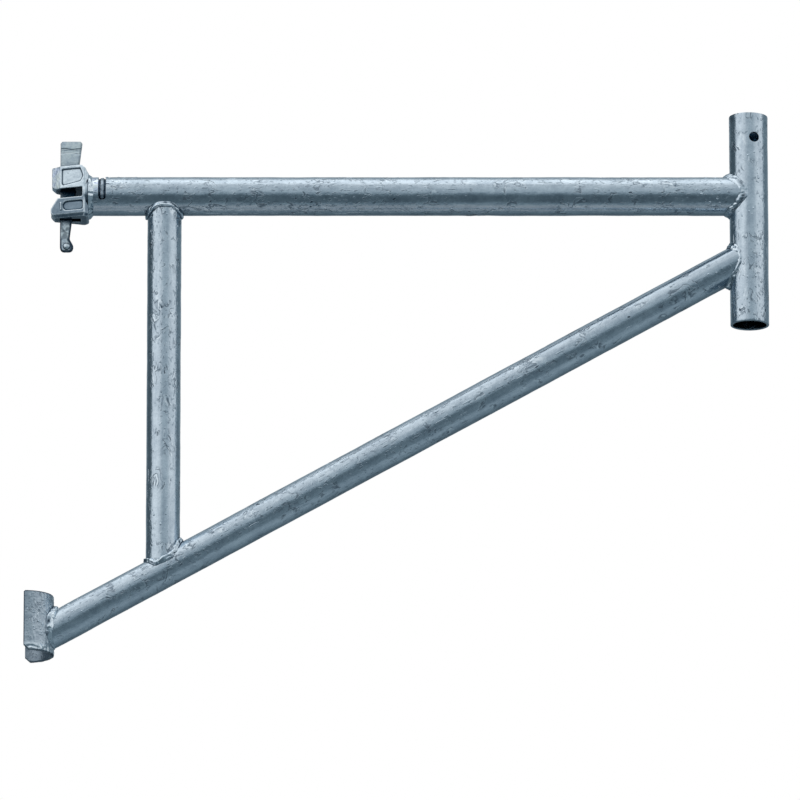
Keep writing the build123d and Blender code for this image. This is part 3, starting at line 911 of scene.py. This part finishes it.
class Socket:
    """Shader socket with arithmetic."""

    def __init__(self, graph, socket):
        self.graph = graph
        self.socket = socket

    def maths(self, operation, other, swapped=False):
        """Maths node, or Vector Math for vectors and colours."""
        first, second = (other, self) if swapped else (self, other)
        if self.socket.type in ("VECTOR", "RGBA"):
            return self.graph.node("ShaderNodeVectorMath", {"operation": operation}, {0: first, 1: second})
        return self.graph.node("ShaderNodeMath", {"operation": operation}, {0: first, 1: second})

    def __add__(self, other):
        return self.maths("ADD", other)

    def __radd__(self, other):
        return self.maths("ADD", other, True)

    def __sub__(self, other):
        return self.maths("SUBTRACT", other)

    def __rsub__(self, other):
        return self.maths("SUBTRACT", other, True)

    def __mul__(self, other):
        return self.maths("MULTIPLY", other)

    def __rmul__(self, other):
        return self.maths("MULTIPLY", other, True)

    def __truediv__(self, other):
        return self.maths("DIVIDE", other)

    def at_least(self, other):
        """Larger of two values."""
        return self.maths("MAXIMUM", other)

    def size(self):
        """Value without its sign."""
        return self.graph.node("ShaderNodeMath", {"operation": "ABSOLUTE"}, {0: self})

    def ramp(self, low, high, start=0.0, end=1.0):
        """Smooth step from start to end as the value goes from low to high."""
        inputs = {"Value": self, "From Min": low, "From Max": high, "To Min": start, "To Max": end}
        return self.graph.node("ShaderNodeMapRange", {"interpolation_type": "SMOOTHSTEP"}, inputs)


class Graph:
    """Node tree with one method that adds any node."""

    def __init__(self, tree):
        self.tree = tree
        tree.nodes.clear()

    def node(self, kind, settings=None, inputs=None, output=0):
        """One output of a new node, from its type, its settings and its sockets' values or links."""
        made = self.tree.nodes.new(kind)
        for key, value in (settings or {}).items():
            setattr(made, key, value)
        for key, value in (inputs or {}).items():
            if isinstance(value, Socket):
                self.tree.links.new(value.socket, made.inputs[key])
            else:
                made.inputs[key].default_value = value
        return Socket(self, made.outputs[output]) if len(made.outputs) else made

    def mix(self, factor, first, second):
        """Colour between two colours."""
        return self.node("ShaderNodeMix", {"data_type": "RGBA"}, {0: factor, 6: first, 7: second}, 2)

    def part(self, vector, letter):
        """X, Y or Z of a vector."""
        return self.node("ShaderNodeSeparateXYZ", {}, {0: vector}, letter)

    def noise(self, where, scale, detail, roughness, distortion=0.0):
        """Cloudy value from 0 to 1, with the given number of features in a metre."""
        inputs = {"Vector": where, "Scale": scale, "Detail": detail}
        inputs.update({"Roughness": roughness, "Distortion": distortion})
        return self.node("ShaderNodeTexNoise", {}, inputs)


def stretched(graph, where, scale, turn=(0.0, 0.0, 0.0)):
    """Places, turned and then scaled along each axis."""
    inputs = {"Vector": where, "Rotation": turn}
    turned = graph.node("ShaderNodeVectorRotate", {"rotation_type": "EULER_XYZ"}, inputs)
    return turned * scale


def skin_marks(graph, where, long_way, half_way, wrinkled, rough_patch):
    """Thin dark wrinkles, partly a mark and partly painted shade, with a painted highlight as a rim beside
    them, bright flecks, pits and pimples, in patches.
    """
    patches = graph.noise(where, 30.0, 2.0, 0.5).ramp(0.44, 0.56)
    bright = 0.0
    if rough_patch is not None:
        spot = rough_patch(graph, where)
        patches = patches.at_least(spot)
        bright = spot * graph.noise(where, 210.0, 2.0, 0.5, 0.9).ramp(0.53, 0.60)
    wander = graph.noise(half_way, 105.0, 2.0, 0.5, 0.9)
    broken = graph.noise(where, 75.0, 2.0, 0.5).ramp(0.46, 0.58) * wrinkled
    wrinkle = (1.0 - (wander - 0.5).size() / 0.055).at_least(0.0) * patches * broken
    rim = (1.0 - (wander - 0.585).size() / 0.05).at_least(0.0) * patches * broken * 0.8
    pit = graph.noise(half_way, 170.0, 1.0, 0.4).ramp(0.745, 0.79) * patches
    rough_skin = graph.noise(long_way, 26.0, 2.0, 0.5).ramp(0.47, 0.56) * wrinkled
    pimple = graph.noise(half_way, 330.0, 1.0, 0.4).ramp(0.60, 0.70) * rough_skin
    return wrinkle, rim, bright, pit, pimple


def occlusion_shade(graph, hollow):
    """Painted shade from ambient occlusion: 1 in the open, less in narrow corners, and 0 deep in a hollow.
    """
    samples = {"samples": 8}
    deep_part = graph.node("ShaderNodeAmbientOcclusion", samples, {"Distance": HOLLOW_REACH}, "AO")
    corner = graph.node("ShaderNodeAmbientOcclusion", samples, {"Distance": CORNER_REACH}, "AO")
    return deep_part.ramp(hollow[0], hollow[1]) * corner.ramp(0.40, 0.86, 0.34, 1.0)


def zinc(
    name,
    light,
    dark,
    roughness,
    stretch=(1.0, 1.0, 1.0),
    turn=(0.0, 0.0, 0.0),
    grain=1.0,
    highlight_and_shade_by_place=None,
    rough_patch=None,
    wrinkled=1.0,
    hollow=(0.20, 0.60),
):
    """Hot-dip zinc: dark to light in clouds, long runs and small crystals, with marks, painted highlights on
    crests and painted shade in creases and hollows.

    The attribute "edge" gives the painted highlights, above 0, and the painted shade, below 0.
    """
    material = bpy.data.materials.new(name)
    material.use_nodes = True
    graph = Graph(material.node_tree)
    where = graph.node("ShaderNodeTexCoord", output="Object")
    long_way = stretched(graph, where, stretch, turn)
    half_way = stretched(graph, where, tuple(0.5 + 0.5 * part for part in stretch), turn)

    cloud = graph.noise(where, 42.0, 4.0, 0.6)
    runs = graph.noise(long_way, 170.0, 3.0, 0.6)
    crystal = graph.node("ShaderNodeTexVoronoi", {}, {"Vector": where, "Scale": 210.0}, "Color")
    crystal_tone = graph.node("ShaderNodeSeparateColor", {}, {"Color": crystal})
    fine = graph.noise(where, 900.0, 3.0, 0.6)
    medium = graph.noise(where, 300.0, 3.0, 0.6)
    tone = (cloud - 0.5) + (runs - 0.5) + (crystal_tone - 0.5) * 0.16 + (medium - 0.5) * 0.7
    colour = graph.mix((tone + 0.55).ramp(0.0, 1.0), dark, light)
    # Painted highlights and shade that depend on the place, where given
    if highlight_and_shade_by_place is not None:
        colour = colour * highlight_and_shade_by_place(graph, where)

    wrinkle, rim, bright, pit, pimple = skin_marks(graph, where, long_way, half_way, wrinkled, rough_patch)
    edge = graph.node("ShaderNodeAttribute", {"attribute_name": "edge"}, {}, "Fac")
    # Painted highlights on crests, rims and bright flecks lighten the colour towards CREST; painted shade in
    # creases and from ambient occlusion darkens it towards DEEP, as do the dark marks
    crest = edge.at_least(bright).at_least(rim)
    crease = (0.0 - edge).at_least(0.0)
    shade = (1.0 - wrinkle * 0.62) * (1.0 - pit * 0.85) * (1.0 - pimple * 0.28) * (1.0 - crease * 0.92)
    colour = graph.mix(crest * 0.90, colour, CREST)
    colour = graph.mix(shade * occlusion_shade(graph, hollow), DEEP, colour)

    rough = (cloud - 0.5) * 0.16 + (crystal_tone - 0.5) * 0.05 + wrinkle * 0.15 + pit * 0.2
    rough = rough - crest * 0.08 + crease * 0.1 + roughness
    relief = fine * 0.10 + medium * 0.8 + runs * 0.8 - wrinkle - pit * 1.4 + pimple
    bump = graph.node("ShaderNodeBump", {}, {"Strength": 0.40 * grain, "Distance": 0.0005, "Height": relief})
    inputs = {"Base Color": colour, "Metallic": 1.0, "Roughness": rough, "Normal": bump}
    shader = graph.node("ShaderNodeBsdfPrincipled", {}, inputs)
    graph.node("ShaderNodeOutputMaterial", {}, {"Surface": shader})
    return material


def head_shade_and_highlight(graph, where):
    """Painted light: a painted highlight on the upper jaw, strongest on its nose, and painted shade on the
    lower jaw.
    """
    nose = graph.part(where, "X").ramp(0.039, 0.042)
    above = graph.mix(nose, (1.41, 1.35, 1.46, 1.0), (1.20, 1.18, 1.15, 1.0))
    return graph.mix(graph.part(where, "Z").ramp(-0.008, 0.006), (0.40, 0.45, 0.49, 1.0), above)


def neck_highlight(graph, where):
    """Painted highlight: the main tube is lighter between the casting and the slot, above its middle."""
    x = graph.part(where, "X")
    neck = x.ramp(0.079, 0.081) * (1.0 - x.ramp(0.087, 0.089)) * graph.part(where, "Z").ramp(-0.002, 0.004)
    return graph.mix(neck, WHITE, (1.50, 1.44, 1.55, 1.0))


def slot_patch(graph, where):
    """Zinc is wrinkled beside the slot, above the tube's middle."""
    x = graph.part(where, "X")
    return x.ramp(0.096, 0.099) * (1.0 - x.ramp(0.110, 0.135)) * graph.part(where, "Z").ramp(-0.002, 0.006)


def plain(name, colour, strength=None):
    """Matt stage material, or one that glows."""
    material = bpy.data.materials.new(name)
    material.use_nodes = True
    graph = Graph(material.node_tree)
    if strength is None:
        shader = graph.node("ShaderNodeBsdfDiffuse", {}, {"Color": colour})
    else:
        shader = graph.node("ShaderNodeEmission", {}, {"Color": colour, "Strength": strength})
    graph.node("ShaderNodeOutputMaterial", {}, {"Surface": shader})
    return material


# Roughness of each finish, stretch of the runs, turn of the diagonal, and the ambient occlusion that counts
# as a hollow for painted shade
SMOOTH_ZINC = 0.20
DULL_ZINC = 0.32
FORGED_ZINC = 0.38
ALONG_X = (0.12, 1.0, 1.0)
ALONG_Z = (1.0, 1.0, 0.12)
ALONG_DIAGONAL = (0.0, DIAGONAL_ANGLE, 0.0)
SHALLOW = (0.46, 0.84)

main_zinc = zinc(
    "zinc_along_main", LIGHT, DARK, SMOOTH_ZINC, ALONG_X, highlight_and_shade_by_place=neck_highlight, rough_patch=slot_patch
)
post_zinc = zinc("zinc_along_post", LIGHT, DARK, SMOOTH_ZINC, ALONG_Z, hollow=(0.30, 0.66))
diagonal_zinc = zinc("zinc_along_diagonal", LIGHT, DARK, SMOOTH_ZINC, ALONG_X, ALONG_DIAGONAL)
foot_zinc = zinc("zinc_on_foot", FOOT_LIGHT, FOOT_DARK, DULL_ZINC, grain=1.8, wrinkled=0.6)
cast_zinc = zinc(
    "zinc_on_casting", LIGHT, DARK, DULL_ZINC, highlight_and_shade_by_place=head_shade_and_highlight, wrinkled=0.0, hollow=SHALLOW
)
wedge_zinc = zinc(
    "zinc_on_wedge", WEDGE_LIGHT, WEDGE_DARK, FORGED_ZINC, grain=1.2, wrinkled=0.0, hollow=SHALLOW
)
weld_zinc = zinc("zinc_on_weld", WELD_LIGHT, WELD_DARK, SMOOTH_ZINC, wrinkled=0.5)


# Pieces

make_main_tube(main_zinc)
make_strut_tube(post_zinc)
make_diagonal_tube(diagonal_zinc)
make_post_tube(post_zinc)
make_foot(foot_zinc)
make_wedge(wedge_zinc)
make_rivet(wedge_zinc)
make_head(cast_zinc)
make_head_weld(weld_zinc)
make_slot_plug(weld_zinc)
bead(
    "weld_bead_main_post", "weld_tube_post", main_axis, main_r, post_axis, post_r, False,
    legs=(9.0, 5.2), bulge=0.5, ridges=1.5, seed=101, material=weld_zinc, limit=POST_LIMIT, rough=0.80,
)
bead(
    "weld_bead_diagonal_post", "weld_diagonal_post", diagonal_axis, brace_r, post_axis, post_r, False,
    legs=(7.4, 6.4), bulge=0.3, ridges=1.5, seed=111, material=weld_zinc, thin=(0.0, 0.42, 0.0), rough=0.95,
)
bead(
    "weld_bead_strut_main", "weld_strut_tube", strut_axis, brace_r, main_axis, main_r, True,
    legs=(5.0, 2.8), bulge=1.7, ridges=1.5, seed=121, material=weld_zinc, limit=STRUT_TOP_LIMIT,
)
bead(
    "weld_bead_strut_diagonal", "weld_strut_diagonal", strut_axis, brace_r, diagonal_axis, brace_r, False,
    legs=(6.4, 4.8), bulge=2.0, ridges=1.5, seed=131, material=weld_zinc, limit=STRUT_LIMIT,
    thin=(-0.5, 0.0, 0.0),
)
bead(
    "weld_bead_diagonal_foot", "weld_diagonal_foot", diagonal_axis, brace_r, foot_axis, foot_r, True,
    legs=(8.0, 5.6), bulge=0.9, ridges=1.3, seed=141, material=weld_zinc, thin=(0.0, 0.0, -0.85),
)

SPATTER = [
    (main_axis, main_r, (98, 140), (-75, 10), 26, (1.1, 0.9, 0.55)),
    (main_axis, main_r, (840, 872), (-80, 70), 14, (1.3, 1.1, 0.7)),
    (post_axis, post_r, (-150, 60), (-80, 40), 26, (1.5, 0.9, 0.5)),
    (strut_axis, brace_r, (26, 70), (-70, 70), 10, (1.3, 1.0, 0.5)),
    (strut_axis, brace_r, (400, 440), (-70, 70), 10, (1.5, 1.1, 0.5)),
    (diagonal_axis, brace_r, (50, 90), (-70, 70), 14, (1.6, 1.2, 0.7)),
    (diagonal_axis, brace_r, (960, 985), (-70, 70), 10, (1.4, 1.1, 0.6)),
    (foot_axis, foot_r, (foot_bottom + 8, foot_top - 6), (5, 80), 40, (1.5, 1.3, 0.45)),
]
RUNS = [
    (main_axis, main_r, (120, 850), (65, 100), 16, (9.0, 1.6, 0.45)),
    (main_axis, main_r, (120, 850), (-75, -5), 36, (4.5, 1.0, 0.30)),
    (strut_axis, brace_r, (60, 400), (-80, 80), 16, (6.0, 1.1, 0.30)),
    (diagonal_axis, brace_r, (110, 930), (-100, 80), 46, (6.5, 1.1, 0.32)),
    (post_axis, post_r, (-160, 95), (-80, 80), 14, (6.0, 1.1, 0.30)),
]
make_lumps("zinc_spatter", SPATTER, seed=7, material=weld_zinc)
make_lumps("zinc_runs", RUNS, seed=8, material=main_zinc)


# Stage, light and camera, in metres

VIEW_MIDDLE = (0.46447, 0.0, -0.264)
BACKDROP_AWAY = 19.3
BACKDROP_HALF = 1.6
FLOOR_PLACE = (0.46, 0.0, -7.0)
FLOOR_HALF = 2.5
FLOOR_TONE = (0.52, 0.53, 0.54, 1.0)


def card(name, centre, direction, half, material):
    """Square card that faces a direction."""
    facing = Vector(direction).normalized()
    side = facing.cross(Vector((0, 0, 1)))
    side = side.normalized() if side.length > 0.01 else Vector((1, 0, 0))
    up = side.cross(facing)
    centre = Vector(centre)
    corners = [centre + side * (a * half) + up * (b * half) for a, b in ((-1, -1), (1, -1), (1, 1), (-1, 1))]
    mesh = bpy.data.meshes.new(name)
    mesh.from_pydata([tuple(c) for c in corners], [], [(0, 1, 2, 3)])
    mesh.materials.append(material)
    sheet = bpy.data.objects.new(name, mesh)
    bpy.context.scene.collection.objects.link(sheet)
    return sheet


def make_world():
    """Soft studio: bright above, dim in front and below, with glows to the left, to the right and behind.

    The camera itself sees white.
    """
    world = bpy.data.worlds.new("studio")
    bpy.context.scene.world = world
    world.use_nodes = True
    graph = Graph(world.node_tree)
    direction = graph.node("ShaderNodeTexCoord", output="Generated")
    x, y, z = (graph.part(direction, letter) for letter in "XYZ")
    left = 0.0 - x

    # In front: from the floor to the ceiling, and glows at the sides
    front = z.ramp(-0.20, 0.32, 0.14, 0.54) + z.ramp(0.45, 0.80, 0.0, 0.14) + z.ramp(0.82, 1.0, 0.0, 0.52)
    front = front + (x * 0.25 - z).ramp(0.74, 0.90, 0.0, 0.14)
    waist = z.ramp(-0.2, 0.2) * (1.0 - z.ramp(0.6, 0.98))
    front = front + left.ramp(0.0, 0.60) * waist * 0.38 + x.ramp(0.35, 0.80) * waist * 0.28
    front = front + left.ramp(0.08, 0.50) * z.ramp(0.35, 0.8) * 0.14
    front = front + x.ramp(0.05, 0.5) * (1.0 - z.ramp(-0.2, 0.0)) * 0.09

    # Towards the rear it is dimmer, and brighter again straight behind
    rear = z.ramp(0.45, 0.90, 0.13, 0.50) + (0.0 - z).ramp(0.55, 0.85, 0.0, 0.10) + x.ramp(0.1, 0.8) * 0.12
    turned_away = (y - x * 0.10 - z.ramp(0.5, 0.95) * 0.28).ramp(-0.11, 0.08)
    level = front + (rear - front) * turned_away
    behind = z.ramp(-0.20, 0.32, 0.16, 0.50) + z.ramp(0.45, 0.80, 0.0, 0.30)
    level = level + (behind - level) * y.ramp(0.64, 0.98)

    tint = graph.mix(level.ramp(0.0, 0.9), (0.62, 0.86, 1.0, 1.0), WHITE)
    light = graph.node("ShaderNodeBackground", {}, {"Color": tint, "Strength": level})
    white = graph.node("ShaderNodeBackground", {}, {"Color": WHITE, "Strength": 1.0})
    seen = graph.node("ShaderNodeLightPath", output="Is Camera Ray")
    both = graph.node("ShaderNodeMixShader", {}, {0: seen, 1: light, 2: white})
    graph.node("ShaderNodeOutputWorld", {}, {"Surface": both})


def make_camera():
    """Long lens in front of the bracket and below it, looking up."""
    data = bpy.data.cameras.new("photo_camera")
    data.sensor_width = 36.0
    data.lens = CAMERA_LENS
    data.clip_end = 100.0
    camera = bpy.data.objects.new("photo_camera", data)
    camera.location = CAMERA_PLACE
    camera.rotation_euler = (CAMERA_TILT, 0.0, 0.0)
    bpy.context.scene.collection.objects.link(camera)
    bpy.context.scene.camera = camera


def make_stage():
    """Pale floor far below, and a white backdrop square to the view, far behind its middle."""
    card("floor", FLOOR_PLACE, (0, 0, 1), FLOOR_HALF, plain("pale_floor", FLOOR_TONE))
    up = CAMERA_TILT - math.pi / 2
    x, _, z = VIEW_MIDDLE
    place = (x, BACKDROP_AWAY * math.cos(up), z + BACKDROP_AWAY * math.sin(up))
    facing = (0, -math.cos(up), -math.sin(up))
    card("backdrop", place, facing, BACKDROP_HALF, plain("white_backdrop", WHITE, 1.0))


make_world()
make_camera()
make_stage()

bpy.context.scene.view_settings.view_transform = "Standard"
